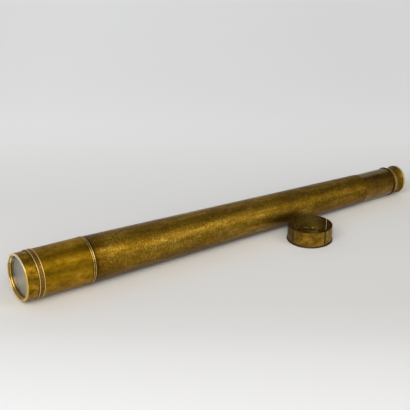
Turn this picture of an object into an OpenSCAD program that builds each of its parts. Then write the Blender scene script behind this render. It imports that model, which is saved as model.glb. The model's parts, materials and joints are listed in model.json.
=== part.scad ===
// Single-draw brass telescope, lying closed on a table with its lens cap standing beside it.
// Every turned piece is drawn about its own axis, with s = 0 at the front face of the objective
// cell and s growing towards the eye. A point of a section is [radius, s].

/* [Objective] */
// Radius of the two glasses
lens_r = 25.8; // [23:0.1:28]
// Radial room of the glasses in their cell
lens_fit = 0.1; // [0.05:0.01:0.2]
// Wall of the cell outside the glasses
cell_wall = 4.0; // [3.4:0.1:6]
// Length of the cell in front of the mouth band, which the lens cap slides over
cell_len = 15.8; // [12:0.1:24]
// Rounding of the cell's front edge
lip_round = 1.4; // [0.4:0.1:2]
// Width of the flat lip inside that rounding
lip_w = 0.9; // [0.4:0.1:1.4]
// Depth of the bezel inside the lip
bezel_depth = 5.8; // [4.4:0.1:7]
// Depth of the step in the bezel
step_depth = 2.4; // [1.4:0.1:3.2]
// Width of that step
step_w = 0.7; // [0.3:0.1:0.9]
// Width of the flat rim that shows round the front glass
glass_rim_w = 1.2; // [0.6:0.1:1.4]
// Lean of the bezel's wall below the step
wall_lean = 0.3; // [0.1:0.1:0.4]
// Width of the seat that holds the front glass at its edge
seat_w = 1.2; // [0.6:0.1:2.4]
// Thickness of the seat
seat_t = 1.0; // [0.6:0.1:2]
// Radius of the front curve of the crown glass
crown_curve = 310; // [200:5:600]
// Radius of the curve between the two glasses
inner_curve = 190; // [150:5:400]
// Thickness of the crown glass at its edge
crown_edge = 3.6; // [2.5:0.1:5]
// Thickness of the flint glass in its middle
flint_mid = 2.4; // [1.8:0.1:4]
// Air gap between the two glasses
glass_gap = 0.1; // [0.05:0.01:0.3]
// Wall of the threaded spigot behind the cell
spigot_wall = 2.2; // [1.6:0.1:2.6]
// Length of the threaded spigot behind the cell
spigot_len = 8; // [5:0.5:9]
// Length of the ring that holds the glasses from behind
objective_ring_len = 2.5; // [1.5:0.1:4]

/* [Mouth band and sleeve] */
// Width of the mouth band
band_w = 7.4; // [5:0.1:12]
// Radius of the beads at the edges of the mouth band
bead_r = 0.55; // [0.3:0.05:0.9]
// Height of those beads over the cell
bead_rise = 1.1; // [0.8:0.1:2]
// Height of the flat between those beads over the cell
flat_rise = 0.7; // [0.3:0.1:0.8]
// Length of the mouth band's spigot inside the sleeve
band_spigot_len = 10; // [6:0.5:20]
// Height of the sleeve over the cell
sleeve_rise = 0.1; // [0:0.05:0.6]
// Length of the front sleeve
sleeve_len = 64.8; // [40:0.2:120]
// Wall of the front sleeve
sleeve_wall = 0.8; // [0.6:0.1:1.2]
// Width of the double-beaded ring behind the sleeve
end_ring_w = 4.6; // [3.6:0.1:8]
// Height of its beads over the sleeve
end_ring_rise = 0.35; // [0.2:0.05:1]

/* [Barrel] */
// Length of the tapered barrel behind the ring
taper_len = 446.2; // [420:0.2:600]
// Wall of the barrel
barrel_wall = 0.9; // [0.7:0.1:1.2]
// How far the thick end of the taper lies below the sleeve's surface
barrel_drop = 0.3; // [0.1:0.05:0.6]
// How far the thin end of the taper stands over the collar
barrel_step = 0.75; // [0.3:0.05:2]
// Length of the skirt of each of the three baffles
baffle_len = 5; // [3:0.5:10]
// Narrowing of the light cone, in millimetres for each millimetre of length
cone_rate = 0.02; // [0.01:0.001:0.03]
// Length of the joint ring inside the barrel
joint_front_len = 14; // [8:0.5:20]
// Length of the joint ring inside the collar
joint_rear_len = 11; // [8:0.5:16]

/* [Eye-end collar] */
// Length of the collar
collar_len = 53.6; // [40:0.2:90]
// Wall of the collar
collar_wall = 0.75; // [0.6:0.05:1.2]
// Wall of the guide bush
bush_wall = 1.6; // [1.2:0.1:3]
// Thickness of the bush's flange
flange_t = 1.8; // [1.2:0.1:4]
// Height of the flange over the collar
flange_rise = 1.1; // [0.4:0.05:2]

/* [Draw] */
// Outer radius of the draw tube
draw_r = 17.5; // [15:0.1:20]
// Wall of the draw tube
draw_wall = 0.8; // [0.6:0.1:1.2]
// Running clearance between draw tube and bush
draw_gap = 0.07; // [0.03:0.01:0.1]
// How far the draw slides out
draw_travel = 284; // [200:1:300]
// Length of the stop ring on the inner end of the draw
stop_ring_len = 12; // [6:0.5:20]
// Gap between the eyecup and the bush when the draw is closed
closed_gap = 0.6; // [0.3:0.1:3]

/* [Optics in the draw] */
// Radius of the erector lenses
erector_r = 11; // [8:0.1:11.8]
// Length of the erector tube
erector_len = 98; // [70:1:120]
// Wall of the erector tube and of the eyepiece tube
inner_tube_wall = 0.8; // [0.6:0.1:1]
// Length of the eyepiece tube
eyepiece_len = 48; // [40:1:60]
// Radius of the eye lens
eye_lens_r = 7; // [5:0.1:9]
// Radius of the hole in the erector's stop
erector_stop_r = 3; // [2:0.1:5]
// Radius of the hole in the field stop
field_stop_r = 9; // [6:0.1:11]

/* [Eyecup] */
// Length of the turned neck
neck_len = 8.2; // [4:0.1:14]
// Height of the neck over the draw tube
neck_rise = 0.5; // [0.3:0.1:1.5]
// Length of the flare between neck and rim
flare_len = 7.5; // [5:0.1:15]
// Height of the rim over the neck
flare_rise = 2.1; // [1.2:0.1:4]
// Thickness of the rim
rim_t = 5.4; // [4.6:0.1:8]
// Rounding of the rim at the eye side
rim_round = 2.0; // [1:0.1:2.4]
// Length of the eyecup's spigot inside the draw tube
cup_spigot_len = 14; // [8:0.5:18]
// Wall of that spigot
cup_spigot_wall = 1.3; // [1:0.1:1.8]
// Width of the flat between the dish and the rim's rounding
dish_lip = 2.1; // [1:0.1:3]
// Depth of the dish round the eye hole
dish_depth = 1.7; // [1.7:0.1:2.2]
// Thickness of the wall with the eye hole
eye_wall = 2.2; // [1.6:0.1:3]
// Radius of the eye hole
eye_hole_r = 3.5; // [2:0.1:4.2]

/* [Dust shutter] */
// Thickness of the shutter
shutter_t = 0.9; // [0.6:0.05:0.9]
// How far the shutter reaches past the eye hole
shutter_lap = 1.5; // [1:0.1:2]
// How far the shutter swings, in degrees
shutter_swing = 70; // [50:1:80]
// Radius of the pivot screw's shank
pivot_r = 0.9; // [0.7:0.05:1]

/* [Lens cap] */
// Height of the cap
cap_h = 21.7; // [17:0.1:30]
// Clearance of the cap on the cell
cap_fit = 0.05; // [0.03:0.01:0.1]
// Wall of the cap's skirt
cap_wall = 0.4; // [0.3:0.05:0.8]
// Thickness of the plate at its rounded rim
cap_plate_t = 2.4; // [1.6:0.1:4]
// How far the rim stands out past the skirt
cap_rim_rise = 1.05; // [0.4:0.05:1.6]
// Thickness of the plate in its middle
cap_floor_t = 1.0; // [0.6:0.1:1.4]
// Width of the ledge on which the skirt stands
cap_ledge = 1.4; // [0.8:0.1:3]
// Number of spring slots
cap_slots = 4; // [2:1:8]
// Width of a spring slot
cap_slot_w = 1.1; // [0.6:0.1:2]
// Height of the closed foot below the slots
cap_slot_foot = 2.4; // [1:0.1:6]
// Turn of the slots, in degrees
cap_turn = 3; // [-45:1:45]
// Place of the cap along the telescope, from its front face
cap_x = 404; // [380:1:440]
// Distance of the cap's middle from the middle of the telescope
cap_aside = 57.6; // [56:0.1:80]

/* [Hidden] */
$fn = 128;
curve_fn = 720;

// Clearance between pieces that are screwed or pushed together
fit = 0.05;
// Clearance of a soldered or threaded pin
pin_fit = 0.02;
// Overlap of shapes that are joined, and reach of a cut past the surface
lap = 1;

// Radii of the objective end
lens_bore = lens_r + lens_fit;
cell_r = lens_bore + cell_wall;
clear_r = lens_r - seat_w;
face_r = cell_r - lip_round;
step_r = clear_r + glass_rim_w + wall_lean;
spigot_r = lens_bore + spigot_wall;
band_r = cell_r + bead_rise;
sleeve_r = cell_r + sleeve_rise;
sleeve_in = sleeve_r - sleeve_wall;
end_ring_r = sleeve_r + end_ring_rise;
end_bead_r = end_ring_w / 4;
end_groove = 0.6;

// Radii of the draw and of the eye end
draw_in = draw_r - draw_wall;
bush_in = draw_r + draw_gap;
collar_in = bush_in + bush_wall + fit;
collar_r = collar_in + collar_wall;
flange_r = collar_r + flange_rise;
flange_chamfer = 0.3;
neck_r = draw_r + neck_rise;
eyecup_r = neck_r + flare_rise;
cup_spigot_r = draw_in - fit;
cup_in = cup_spigot_r - cup_spigot_wall;
erector_tube_r = draw_in - fit;
erector_in = erector_tube_r - inner_tube_wall;
eyepiece_r = cup_in - fit;
eyepiece_in = eyepiece_r - inner_tube_wall;

// Radii of the barrel, and room between the draw and what it slides past
slide_room = 0.4;
barrel_spigot_r = sleeve_in - fit;
barrel_front_r = sleeve_r - barrel_drop;
barrel_rear_r = collar_r + barrel_step;

// Places along the axis
s_band = cell_len;
s_sleeve = s_band + band_w;
s_ring = s_sleeve + sleeve_len;
s_taper = s_ring + end_ring_w;
s_collar = s_taper + taper_len;
s_flange = s_collar + collar_len;
s_flange_end = s_flange + flange_t;
s_neck = s_flange_end + closed_gap;
s_flare = s_neck + neck_len;
s_rim = s_flare + flare_len;
s_end = s_rim + rim_t;
s_barrel = s_sleeve + band_spigot_len;
s_joint = s_collar - joint_front_len;
stop_gap = 0.5;
joint_gap = 1;
barrel_shoulder = 1;
s_draw_stop = s_joint - draw_travel - stop_gap;
s_draw = s_draw_stop - stop_ring_len;

// Depth of a spherical curve of radius curve at radius r
function sag(r, curve) = curve - sqrt(curve * curve - r * r);

// Faces of the two objective glasses
s_seat = bezel_depth + seat_t;
s_crown = s_seat + fit - sag(clear_r, crown_curve);
s_crown_edge = s_crown + sag(lens_r, crown_curve);
s_crown_end = s_crown_edge + crown_edge + sag(lens_r, inner_curve);
s_flint = s_crown_end + glass_gap;
s_flint_end = s_flint + flint_mid;

// Inner radius of the tapered barrel at s
function barrel_in(s) =
    barrel_front_r - barrel_wall + (barrel_rear_r - barrel_front_r) * (s - s_taper) / taper_len;

// Lenses, cells and stops inside the draw
erector_edge = 2.2;
erector_curve = 60;
lens_lip_w = 0.8;
lens_lip_t = 1.0;
erector_cell_len = 7;
erector_inset = 2;
erector_setback = 4;
s_erector = s_draw + erector_setback;
s_erector_end = s_erector + erector_len;
s_erector_stop = s_erector + erector_len / 2;
eye_floor_s = s_end - dish_depth - eye_wall;
eyepiece_gap = 0.3;
s_eyepiece_end = eye_floor_s - eyepiece_gap;
s_eyepiece = s_eyepiece_end - eyepiece_len;
field_lens_r = eyepiece_in - lens_fit;
field_lens_edge = 2;
field_lens_curve = 45;
field_ring_len = 3;
field_ring_w = 1.6;
s_field_ring = s_eyepiece + 0.5;
s_field_lens = s_field_ring + field_ring_len + lens_fit;
s_field_stop = s_eyepiece + eyepiece_len / 2;
eye_cell_len = 8;
eye_lens_edge = 1.8;
eye_lens_curve = 24;
s_eye_cell = s_eyepiece_end - eye_cell_len;
ring_t = 1.0;
ring_skirt_t = 0.6;
ring_skirt_len = 5;

// Dust shutter, which hangs from a pivot above the eye hole in the dish
shutter_r = eye_hole_r + shutter_lap;
dish_r = eyecup_r - rim_round - dish_lip;
swing_room = 0.5;
pivot_offset = (dish_r - shutter_r - swing_room) / (2 * sin(shutter_swing / 2));
shutter_gap = 0.1;
pivot_boss_r = 2.2;
pivot_head_r = 1.7;
pivot_head_t = 0.45;
pivot_gap = 0.07;
pivot_inset = 0.2;
knob_r = 0.9;
knob_h = 0.55;
s_dish = s_end - dish_depth;

// Lens cap
cap_in = cell_r + cap_fit;
cap_r = cap_in + cap_wall;
cap_rim_r = cap_r + cap_rim_rise;
cap_rim_round = cap_plate_t / 2;

// Rings that can touch the table, as [s, radius of the middle of the rounding, rounding]
front_feet = [
    [s_sleeve - bead_r, band_r - bead_r, bead_r],
    [s_taper - end_bead_r, end_ring_r - end_bead_r, end_bead_r]
];
rear_feet = [
    [s_flange_end - flange_chamfer, flange_r, 0],
    [s_end - rim_round, eyecup_r - rim_round, rim_round]
];

// Slope of the axis when the telescope rests on the rings a and b
function slope(a, b) =
    asin((a[2] - b[2]) / norm([b[0] - a[0], b[1] - a[1]])) - atan2(b[1] - a[1], b[0] - a[0]);
tilt = min([for (b = rear_feet) max([for (a = front_feet) slope(a, b)])]);
axis_h = max([for (p = concat(front_feet, rear_feet)) p[0] * sin(tilt) + p[1] * cos(tilt) + p[2]]);

// The origin is under the middle of the whole, telescope and cap
x_low = lip_round * cos(tilt) - face_r * sin(tilt) - lip_round;
x_high = (s_end - rim_round) * cos(tilt) + (eyecup_r - rim_round) * sin(tilt) + rim_round;
y_low = -cap_aside - cap_rim_r;
y_high = max(band_r, end_ring_r);
origin_x = (x_low + x_high) / 2;
origin_y = (y_low + y_high) / 2;

// Colours
brass = "#a8842f";
old_brass = "#8a6a2a";
dark_brass = "#6b5320";
bright_brass = "#c8a24a";
black = "#1c1b19";
glass = [0.72, 0.78, 0.82, 0.5];

// Puts what is drawn about +Z on the telescope's axis as it lies on the table
module on_axis() {
    translate([-origin_x, -origin_y, axis_h])
        rotate([0, 90 + tilt, 0])
            children();
}

// A turned piece from a section given as [radius, s] points
module turned(points) {
    on_axis()
        rotate_extrude()
            polygon(points);
}

// A plain tube or ring
module tube(r_in, r_out, s0, s1) {
    turned([[r_in, s0], [r_out, s0], [r_out, s1], [r_in, s1]]);
}

// A bead on a turned section, its middle at [r, s]
module bead(r, s, size) {
    translate([r, s])
        circle(size);
}

// A blackened stop: a thin disc with a skirt towards the eye
module stop_ring(hole_r, skirt_front_r, skirt_rear_r, s, skirt_len) {
    turned([
        [hole_r, s],
        [skirt_front_r, s],
        [skirt_rear_r, s + skirt_len],
        [skirt_rear_r - ring_skirt_t, s + skirt_len],
        [skirt_front_r - ring_skirt_t, s + ring_t],
        [hole_r, s + ring_t]
    ]);
}

// A cell: a ring that holds a lens of radius r against a lip at s; dir is 1 or -1 along the axis
module lens_cell(r, r_out, s, length, dir) {
    turned([
        [r - lens_lip_w, s],
        [r_out, s],
        [r_out, s + dir * length],
        [r + fit, s + dir * length],
        [r + fit, s + dir * lens_lip_t],
        [r - lens_lip_w, s + dir * lens_lip_t]
    ]);
}

// A flat-backed lens whose flat lies at s and whose curved face looks along dir
module flat_lens(r, s, edge, curve, dir) {
    on_axis()
        rotate_extrude()
            translate([0, s])
                mirror([0, dir < 0 ? 1 : 0])
                    intersection() {
                        square([r, edge + sag(r, curve)]);
                        translate([0, edge + sag(r, curve) - curve])
                            circle(curve, $fn = curve_fn);
                    }
}

module objective_cell() {
    color(brass)
        on_axis()
            rotate_extrude() {
                polygon([
                    [face_r - lip_w, 0],
                    [face_r, 0],
                    [cell_r, lip_round],
                    [cell_r, s_band],
                    [spigot_r, s_band],
                    [spigot_r, s_band + spigot_len],
                    [lens_bore, s_band + spigot_len],
                    [lens_bore, s_seat],
                    [clear_r, s_seat],
                    [clear_r, bezel_depth],
                    [clear_r + glass_rim_w, bezel_depth],
                    [step_r, step_depth],
                    [step_r + step_w, step_depth]
                ]);
                bead(face_r, lip_round, lip_round);
            }
}

module objective_ring() {
    slot_w = 2;
    slot_depth = 1;
    s = s_flint_end + fit;
    color(dark_brass)
        on_axis()
            difference() {
                rotate_extrude()
                    translate([clear_r, s])
                        square([lens_bore - fit - clear_r, objective_ring_len]);
                translate([-slot_w / 2, -lens_bore, s + objective_ring_len - slot_depth])
                    cube([slot_w, 2 * lens_bore, 2 * slot_depth]);
            }
}

module crown_lens() {
    color(glass)
        on_axis()
            rotate_extrude()
                intersection() {
                    translate([0, s_crown])
                        square([lens_r, s_crown_end - s_crown]);
                    translate([0, s_crown + crown_curve])
                        circle(crown_curve, $fn = curve_fn);
                    translate([0, s_crown_end - inner_curve])
                        circle(inner_curve, $fn = curve_fn);
                }
}

module flint_lens() {
    s_edge = s_flint - sag(lens_r, inner_curve);
    color(glass)
        on_axis()
            rotate_extrude()
                difference() {
                    translate([0, s_edge])
                        square([lens_r, s_flint_end - s_edge]);
                    translate([0, s_flint - inner_curve])
                        circle(inner_curve, $fn = curve_fn);
                }
}

module mouth_band() {
    inner = spigot_r + fit;
    color(bright_brass)
        on_axis()
            rotate_extrude() {
                translate([inner, s_band])
                    square([cell_r + flat_rise - inner, band_w]);
                translate([inner, s_sleeve - lap])
                    square([sleeve_in - fit - inner, band_spigot_len + lap]);
                bead(band_r - bead_r, s_band + bead_r, bead_r);
                bead(band_r - bead_r, s_sleeve - bead_r, bead_r);
            }
}

module front_sleeve() {
    color(brass)
        tube(sleeve_in, sleeve_r, s_sleeve, s_ring);
}

module sleeve_end_ring() {
    bead_middle_r = end_ring_r - end_bead_r;
    color(bright_brass)
        on_axis()
            rotate_extrude()
                difference() {
                    union() {
                        bead(bead_middle_r, s_ring + end_bead_r, end_bead_r);
                        bead(bead_middle_r, s_taper - end_bead_r, end_bead_r);
                        translate([sleeve_in, s_ring])
                            square([end_ring_r - end_groove - sleeve_in, end_ring_w]);
                    }
                    translate([0, s_ring - lap])
                        square([sleeve_in, end_ring_w + 2 * lap]);
                }
}

module barrel() {
    color(old_brass)
        turned([
            [barrel_spigot_r - barrel_wall, s_barrel],
            [barrel_spigot_r, s_barrel],
            [barrel_spigot_r, s_taper],
            [barrel_front_r, s_taper],
            [barrel_rear_r, s_collar],
            [barrel_rear_r - barrel_wall, s_collar],
            [barrel_front_r - barrel_wall, s_taper],
            [barrel_spigot_r - barrel_wall, s_taper - barrel_shoulder]
        ]);
}

// The three baffles share the room between the taper's mouth and the closed draw
module baffle(place) {
    s = s_taper + (s_draw - s_taper) * place / 4;
    front_r = barrel_in(s) - fit;
    rear_r = barrel_in(s + baffle_len) - fit;
    color(black)
        stop_ring(clear_r - cone_rate * s, front_r, rear_r, s, baffle_len);
}

module baffle_front() baffle(1);
module baffle_middle() baffle(2);
module baffle_rear() baffle(3);

module barrel_end_ring() {
    inner = draw_r + slide_room;
    color(dark_brass)
        turned([
            [inner, s_joint],
            [barrel_rear_r - barrel_wall - fit, s_joint],
            [barrel_rear_r - barrel_wall - fit, s_collar],
            [collar_in - fit, s_collar],
            [collar_in - fit, s_collar + joint_rear_len],
            [inner, s_collar + joint_rear_len]
        ]);
}

module eye_end_collar() {
    color(dark_brass)
        tube(collar_in, collar_r, s_collar, s_flange);
}

module guide_bush() {
    s_bush = s_collar + joint_rear_len + joint_gap;
    color(dark_brass)
        turned([
            [bush_in, s_bush],
            [collar_in - fit, s_bush],
            [collar_in - fit, s_flange],
            [flange_r - flange_chamfer, s_flange],
            [flange_r, s_flange + flange_chamfer],
            [flange_r, s_flange_end - flange_chamfer],
            [flange_r - flange_chamfer, s_flange_end],
            [bush_in, s_flange_end]
        ]);
}

module draw_tube() {
    color(brass)
        tube(draw_in, draw_r, s_draw, s_neck);
}

module draw_stop_ring() {
    color(dark_brass)
        tube(draw_r + pin_fit, barrel_rear_r - barrel_wall - slide_room, s_draw, s_draw_stop);
}

module erector_tube() {
    color(dark_brass)
        tube(erector_in, erector_tube_r, s_erector, s_erector_end);
}

module erector_front_cell() {
    color(brass)
        lens_cell(erector_r, erector_in - fit, s_erector + erector_inset, erector_cell_len, 1);
}

module erector_front_lens() {
    s = s_erector + erector_inset + lens_lip_t + fit;
    color(glass)
        flat_lens(erector_r, s, erector_edge, erector_curve, 1);
}

module erector_stop() {
    color(black)
        stop_ring(erector_stop_r, erector_in - fit, erector_in - fit, s_erector_stop, ring_skirt_len);
}

module erector_rear_lens() {
    s = s_erector_end - erector_inset - lens_lip_t - fit;
    color(glass)
        flat_lens(erector_r, s, erector_edge, erector_curve, -1);
}

module erector_rear_cell() {
    color(brass)
        lens_cell(erector_r, erector_in - fit, s_erector_end - erector_inset, erector_cell_len, -1);
}

module eyepiece_tube() {
    color(dark_brass)
        tube(eyepiece_in, eyepiece_r, s_eyepiece, s_eyepiece_end);
}

module field_lens_ring() {
    color(brass)
        tube(eyepiece_in - field_ring_w, eyepiece_in - fit, s_field_ring, s_field_ring + field_ring_len);
}

module field_lens() {
    color(glass)
        flat_lens(field_lens_r, s_field_lens, field_lens_edge, field_lens_curve, 1);
}

module field_stop() {
    color(black)
        stop_ring(field_stop_r, eyepiece_in - fit, eyepiece_in - fit, s_field_stop, ring_skirt_len);
}

module eye_lens_cell() {
    color(brass)
        lens_cell(eye_lens_r, eyepiece_in - fit, s_eyepiece_end, eye_cell_len, -1);
}

module eye_lens() {
    s = s_eyepiece_end - lens_lip_t - fit;
    color(glass)
        flat_lens(eye_lens_r, s, eye_lens_edge, eye_lens_curve, -1);
}

// Section of the eyecup: neck and spigot, a hollow flare, a round-edged rim and the dish
module eyecup_section() {
    flare_curve = (flare_len * flare_len + flare_rise * flare_rise) / (2 * flare_rise);
    difference() {
        union() {
            translate([0, s_neck - cup_spigot_len])
                square([cup_spigot_r, cup_spigot_len + lap]);
            translate([0, s_neck])
                square([neck_r, neck_len]);
            translate([0, s_flare])
                square([eyecup_r, s_end - rim_round - s_flare]);
            translate([0, s_rim])
                square([eyecup_r - rim_round, rim_t]);
            bead(eyecup_r - rim_round, s_end - rim_round, rim_round);
        }
        intersection() {
            translate([neck_r + flare_curve, s_flare])
                circle(flare_curve, $fn = curve_fn);
            translate([neck_r, s_flare])
                square([2 * flare_rise, flare_len]);
        }
        translate([-lap, s_neck - cup_spigot_len - lap])
            square([cup_in + lap, eye_floor_s - s_neck + cup_spigot_len + lap]);
        translate([-lap, s_neck])
            square([eye_hole_r + lap, s_end]);
        translate([-lap, s_dish])
            square([dish_r + lap, dish_depth + lap]);
    }
}

module eyecup() {
    color(bright_brass)
        on_axis()
            difference() {
                rotate_extrude()
                    eyecup_section();
                translate([-pivot_offset, 0, eye_floor_s - lap])
                    cylinder(r = pivot_r + pin_fit, h = eye_wall + 2 * lap);
            }
}

module shutter_pivot() {
    s_head = s_dish + shutter_gap + shutter_t + shutter_gap;
    driver_w = 0.4;
    color(dark_brass)
        on_axis()
            translate([-pivot_offset, 0, 0])
                difference() {
                    union() {
                        translate([0, 0, eye_floor_s + pivot_inset])
                            cylinder(r = pivot_r, h = s_head - eye_floor_s);
                        translate([0, 0, s_head])
                            cylinder(r = pivot_head_r, h = pivot_head_t);
                    }
                    translate([-pivot_head_r, -driver_w / 2, s_head + pivot_head_t / 2])
                        cube([2 * pivot_head_r, driver_w, pivot_head_t]);
                }
}

module dust_shutter() {
    s = s_dish + shutter_gap;
    color(dark_brass)
        on_axis() {
            translate([0, 0, s])
                linear_extrude(shutter_t)
                    difference() {
                        union() {
                            circle(shutter_r);
                            translate([-pivot_offset, 0])
                                circle(pivot_boss_r);
                            translate([-pivot_offset, -pivot_boss_r])
                                square([pivot_offset, 2 * pivot_boss_r]);
                        }
                        translate([-pivot_offset, 0])
                            circle(pivot_r + pivot_gap);
                    }
            translate([shutter_r - 2 * knob_r, 0, s + shutter_t])
                cylinder(r = knob_r, h = knob_h);
        }
}

// Puts the cap, drawn about +Z on z = 0, in its place beside the telescope
module cap_place() {
    translate([cap_x - origin_x, -cap_aside - origin_y, 0])
        rotate([0, 0, cap_turn])
            children();
}

module cap_plate() {
    color(old_brass)
        cap_place()
            rotate_extrude()
                difference() {
                    union() {
                        square([cap_rim_r - cap_rim_round, cap_plate_t]);
                        bead(cap_rim_r - cap_rim_round, cap_rim_round, cap_rim_round);
                    }
                    translate([-lap, cap_floor_t])
                        square([cap_in - cap_ledge + lap, cap_plate_t]);
                }
}

module cap_skirt() {
    skirt_h = cap_h - cap_plate_t;
    color(old_brass)
        cap_place()
            translate([0, 0, cap_plate_t])
                difference() {
                    cylinder(r = cap_r, h = skirt_h);
                    translate([0, 0, -lap])
                        cylinder(r = cap_in, h = skirt_h + 2 * lap);
                    for (i = [0:cap_slots - 1])
                        rotate([0, 0, i * 360 / cap_slots])
                            translate([cap_in - lap, -cap_slot_w / 2, cap_slot_foot])
                                cube([cap_wall + 2 * lap, cap_slot_w, skirt_h]);
                }
}

objective_cell();
objective_ring();
crown_lens();
flint_lens();
mouth_band();
front_sleeve();
sleeve_end_ring();
barrel();
baffle_front();
baffle_middle();
baffle_rear();
barrel_end_ring();
eye_end_collar();
guide_bush();
draw_tube();
draw_stop_ring();
erector_tube();
erector_front_cell();
erector_front_lens();
erector_stop();
erector_rear_lens();
erector_rear_cell();
eyepiece_tube();
field_lens();
field_lens_ring();
field_stop();
eye_lens();
eye_lens_cell();
eyecup();
shutter_pivot();
dust_shutter();
cap_plate();
cap_skirt();
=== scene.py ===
import json
import math

import bpy
from mathutils import Euler, Matrix, Vector


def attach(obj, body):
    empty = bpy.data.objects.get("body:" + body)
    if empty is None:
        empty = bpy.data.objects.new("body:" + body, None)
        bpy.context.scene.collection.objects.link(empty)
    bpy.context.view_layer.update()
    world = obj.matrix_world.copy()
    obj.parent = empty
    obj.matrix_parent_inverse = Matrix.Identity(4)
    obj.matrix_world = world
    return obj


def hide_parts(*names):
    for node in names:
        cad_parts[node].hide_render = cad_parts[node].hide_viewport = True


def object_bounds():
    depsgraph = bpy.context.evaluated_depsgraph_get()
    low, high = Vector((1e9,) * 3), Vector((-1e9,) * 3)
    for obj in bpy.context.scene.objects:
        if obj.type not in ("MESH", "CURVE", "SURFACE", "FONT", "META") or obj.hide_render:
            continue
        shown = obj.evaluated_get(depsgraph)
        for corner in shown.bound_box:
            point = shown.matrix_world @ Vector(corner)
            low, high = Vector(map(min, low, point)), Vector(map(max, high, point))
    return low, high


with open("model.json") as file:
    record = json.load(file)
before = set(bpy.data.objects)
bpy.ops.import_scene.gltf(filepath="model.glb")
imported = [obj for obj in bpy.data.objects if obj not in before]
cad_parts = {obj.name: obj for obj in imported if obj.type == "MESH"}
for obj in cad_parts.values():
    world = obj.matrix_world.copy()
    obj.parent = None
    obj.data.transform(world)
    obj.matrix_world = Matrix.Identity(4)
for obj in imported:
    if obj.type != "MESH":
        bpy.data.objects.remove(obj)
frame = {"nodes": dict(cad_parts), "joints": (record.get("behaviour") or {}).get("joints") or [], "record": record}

# Single-draw brass telescope, lying closed beside its lens cap on a pale table.
# Lengths are in metres unless a name ends in _mm or _MM.

cad_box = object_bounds()
nodes = frame["nodes"]
mounts = {m["name"]: m for m in frame["record"]["mounts"]}
joints = {j["name"]: j for j in frame["joints"]}

# The telescope's own axis, which dips towards the eye end, and the cap's upright one, each as a place and a
# turn for coordinates in which X runs along the axis, from the front face or up from the table
eyeward = Vector(joints["draw_slide"]["axis"])
dip = math.atan2(-eyeward.z, eyeward.x)
seat = mounts["cap_seat"]
seat_len = seat["dims"]["length_mm"] / 1000
LIP_ROUND_MM = 1.4
face = Vector(seat["pos_m"]) + Vector(seat["axis"]) * (seat_len / 2 + LIP_ROUND_MM / 1000)
TUBE = (face, (0, dip, 0))
CAP_TURN = math.radians(3)
CAP = (Vector(mounts["cap_base"]["pos_m"]), (0, -math.pi / 2, CAP_TURN))

# Places along the telescope from its front face, and radii
CELL_END_MM = LIP_ROUND_MM + seat["dims"]["length_mm"]
sleeve = mounts["ring_seat"]
SLEEVE_LEN_MM = sleeve["dims"]["length_mm"]
SLEEVE_MIDDLE_MM = (Vector(sleeve["pos_m"]) - face).dot(eyeward) * 1000
SLEEVE_FRONT_MM = SLEEVE_MIDDLE_MM - SLEEVE_LEN_MM / 2
SLEEVE_END_MM = SLEEVE_MIDDLE_MM + SLEEVE_LEN_MM / 2
RING_LEN_MM = 4.6
BARREL_FRONT_MM = SLEEVE_END_MM + RING_LEN_MM
EYECUP_FRONT_MM = 594.5
EYECUP_END_MM = 615.9
CELL_R_MM = seat["dims"]["r_mm"]
CAP_BORE_R_MM = mounts["cap_bore"]["dims"]["r_mm"]

# The painted glint of a knock on the lip, and the way that the cap's dull side faces, in those coordinates
LIP_GLINT_MM = (0.3, 24.6, 14.2)
CAP_DULL_SIDE = (0.0, 0.55, 0.83)

# How far the stains bend a stripe, and the roughness of metal that use has rubbed smooth
STRIPE_BEND_MM = 6.0
RUBBED_ROUGHNESS = 0.27


def linear(colour):
    """An sRGB hex colour as linear RGBA."""
    parts = [int(colour[i:i + 2], 16) / 255 for i in (1, 3, 5)]
    return [c / 12.92 if c <= 0.04045 else ((c + 0.055) / 1.055) ** 2.4 for c in parts] + [1.0]


def add_node(tree, kind, links=None, stops=None, **settings):
    """Adds one node. links gives its inputs values or other nodes' sockets; stops are a ramp's colours."""
    new = tree.nodes.new(kind)
    for name, value in settings.items():
        setattr(new, name, value)
    for name, value in (links or {}).items():
        if isinstance(value, bpy.types.NodeSocket):
            tree.links.new(value, new.inputs[name])
        else:
            new.inputs[name].default_value = value
    if stops:
        ramp = new.color_ramp
        while len(ramp.elements) < len(stops):
            ramp.elements.new(0.5)
        for element, (place, colour) in zip(ramp.elements, stops):
            element.position = place
            element.color = linear(colour) if isinstance(colour, str) else (colour, colour, colour, 1)
    return new


def start(name, turned):
    """A new material, its tree and shader, and coordinates in millimetres with X along the turned axis."""
    material = bpy.data.materials.new(name)
    material.use_nodes = True
    tree = material.node_tree
    shader = tree.nodes["Principled BSDF"]
    where = add_node(tree, "ShaderNodeTexCoord")
    place, turn = turned
    local = add_node(
        tree, "ShaderNodeMapping",
        {"Vector": where.outputs["Object"], "Location": place, "Rotation": turn, "Scale": (0.001,) * 3},
        vector_type="TEXTURE",
    )
    return material, tree, shader, local.outputs["Vector"]


def cloud(tree, local, along_mm, around_mm, detail=3.0):
    """Noise from 0 to 1, its blotches that long along the axis and that wide around it."""
    scaled = add_node(
        tree, "ShaderNodeVectorMath",
        {0: local, 1: (1 / along_mm, 1 / around_mm, 1 / around_mm)}, operation="MULTIPLY",
    )
    noise = add_node(
        tree, "ShaderNodeTexNoise",
        {"Vector": scaled.outputs[0], "Scale": 1.0, "Detail": detail, "Roughness": 0.6},
    )
    return noise.outputs["Fac"]


def blend_tones(tree, layers):
    """Adds up (share, tone) pairs."""
    total = 0.0
    for share, tone in layers:
        part = add_node(
            tree, "ShaderNodeMath", {0: tone, 1: share, 2: total}, operation="MULTIPLY_ADD",
        )
        total = part.outputs[0]
    return total


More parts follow.
